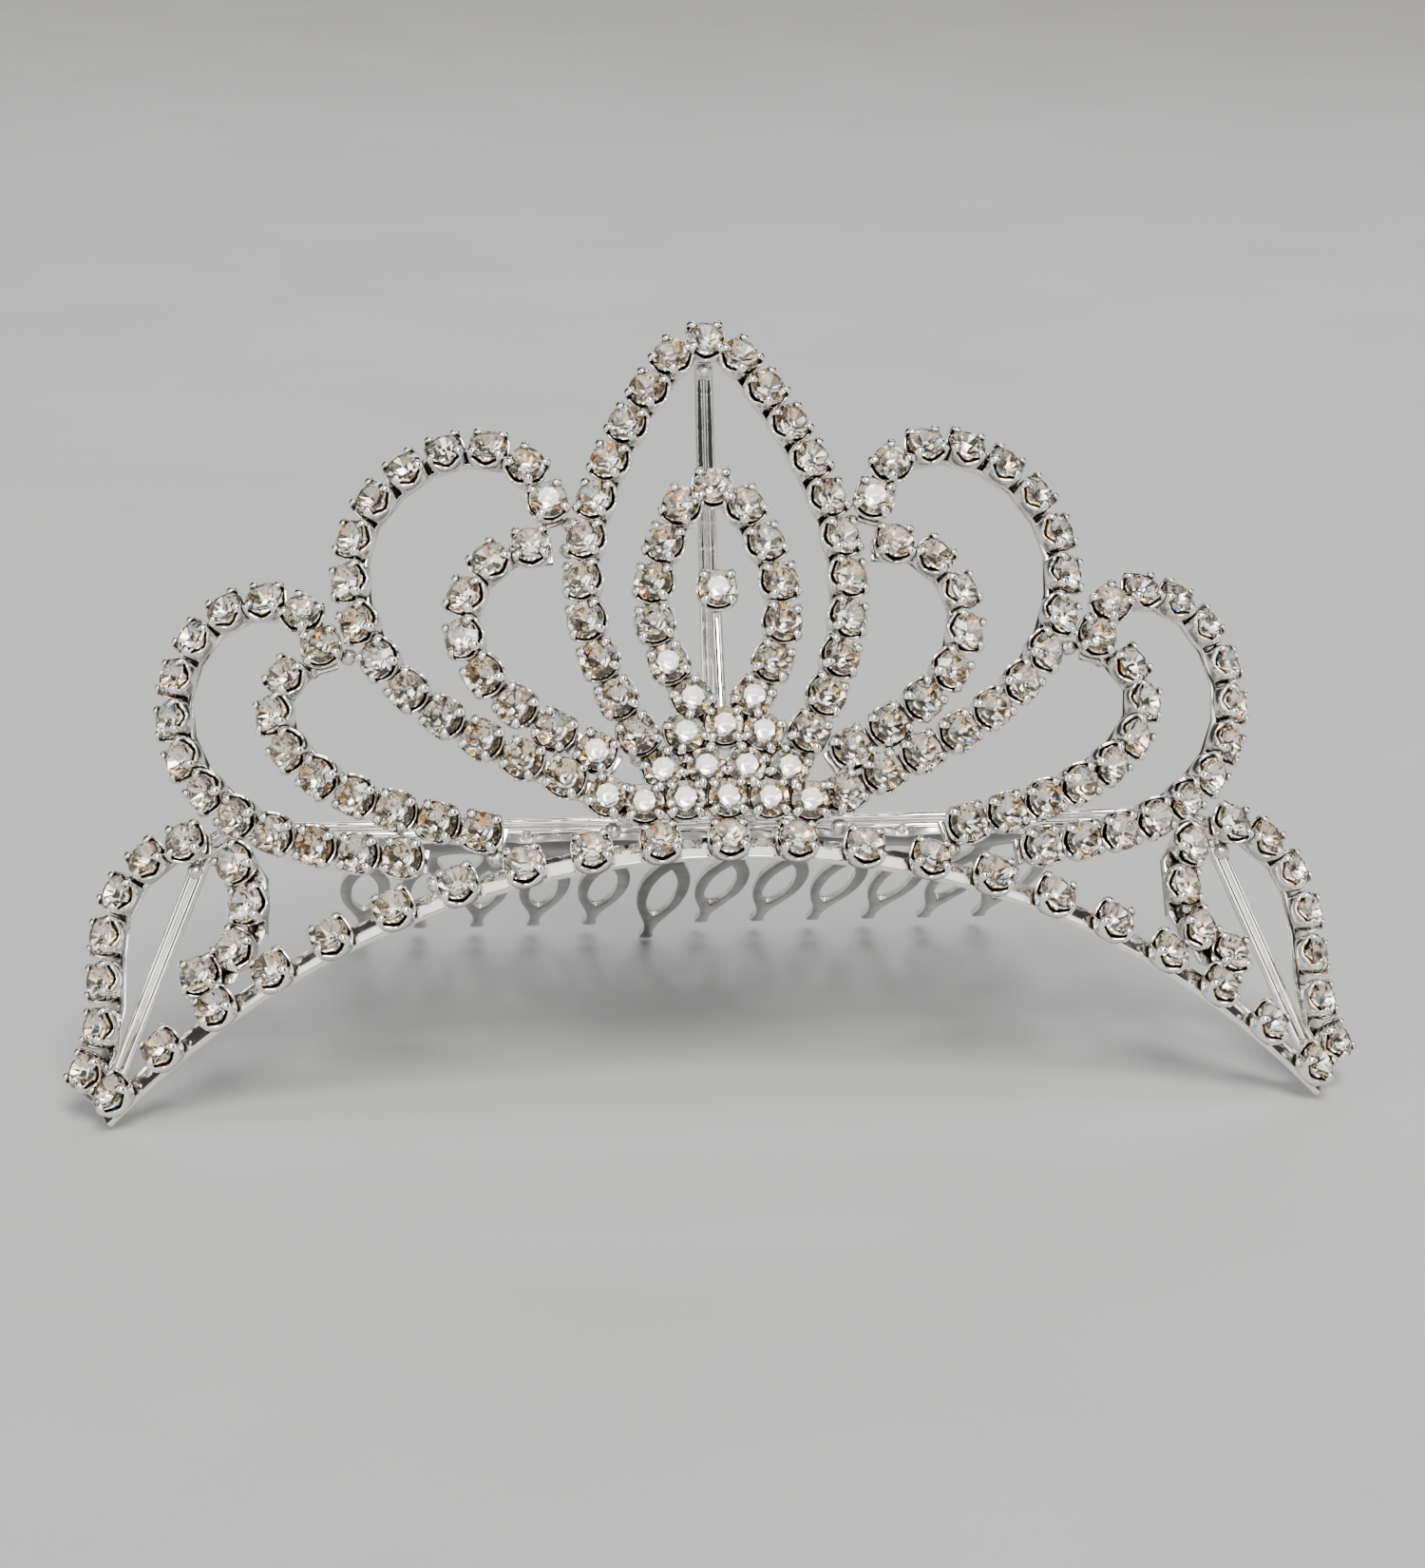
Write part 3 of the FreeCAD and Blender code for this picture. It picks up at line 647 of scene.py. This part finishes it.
def add_softbox(name, place, size, power, tint=(1.0, 1.0, 1.0)):
    """A rectangular lamp, of that size in metres, turned to the tiara."""
    light = bpy.data.lights.new(name, "AREA")
    light.shape = "RECTANGLE"
    light.size, light.size_y = size
    light.energy = power
    light.color = tint
    lamp = bpy.data.objects.new(name, light)
    lamp.location = place
    aim = LIGHT_AIM - Vector(place)
    lamp.rotation_euler = aim.to_track_quat("-Z", "Y").to_euler()
    bpy.context.scene.collection.objects.link(lamp)


def add_world(horizon, overhead):
    """A plain studio: pale where the floor ends, dim overhead."""
    world = bpy.data.worlds.new("studio")
    world.use_nodes = True
    tree = world.node_tree
    split = tree.nodes.new("ShaderNodeSeparateXYZ")
    tree.links.new(tree.nodes.new("ShaderNodeTexCoord").outputs["Generated"],
                   split.inputs["Vector"])
    tree.links.new(ramp(tree, split.outputs["Z"], [(0.04, horizon), (0.22, overhead)]),
                   tree.nodes["Background"].inputs["Color"])
    bpy.context.scene.world = world


def add_key(strength, softness, azimuth, elevation, tint):
    """A large far lamp, so that the floor is as bright far away as near."""
    light = bpy.data.lights.new("key", "SUN")
    light.energy = strength
    light.angle = math.radians(softness)
    light.color = tint
    lamp = bpy.data.objects.new("key", light)
    lamp.rotation_euler = (math.radians(90 - elevation), 0, math.radians(azimuth))
    bpy.context.scene.collection.objects.link(lamp)


def add_camera(target, azimuth, elevation, roll, distance, lens):
    """A camera that looks at the target from the front, turned and raised by those degrees."""
    turn, rise, tip = (math.radians(angle) for angle in (azimuth, elevation, roll))
    back = Vector((math.sin(turn) * math.cos(rise), -math.cos(turn) * math.cos(rise),
                   math.sin(rise)))
    right = Vector((math.cos(turn), math.sin(turn), 0))
    up = back.cross(right)
    axes = Matrix((right * math.cos(tip) + up * math.sin(tip),
                   up * math.cos(tip) - right * math.sin(tip), back)).transposed()
    data = bpy.data.cameras.new("camera")
    data.sensor_width = 36.0
    data.lens = lens
    data.clip_start = 0.005
    camera = bpy.data.objects.new("camera", data)
    camera.matrix_world = Matrix.Translation(target + back * distance) @ axes.to_4x4()
    bpy.context.scene.collection.objects.link(camera)
    bpy.context.scene.camera = camera


add_floor()
add_world(horizon=0.5, overhead=0.05)
add_key(strength=4.6, softness=26, azimuth=6, elevation=52, tint=WARM)
add_softbox("front", (-0.15, -1.0, 0.34), (1.3, 0.3), 3.9, WARM)
add_softbox("overhead", (0.0, -0.1, 0.85), (2.0, 0.34), 4.2)
add_softbox("left_side", (-0.75, -0.3, 0.32), (0.25, 0.5), 1.8)
add_softbox("right_side", (0.75, -0.2, 0.32), (0.25, 0.5), 1.8)
add_softbox("rim", (0.15, 0.6, 0.5), (0.6, 0.12), 1.5, COOL)
add_camera(target=Vector((0.0007, -0.0026, 0.0231)), azimuth=-6.33, elevation=17.11, roll=0.888,
           distance=0.3277, lens=86.24)
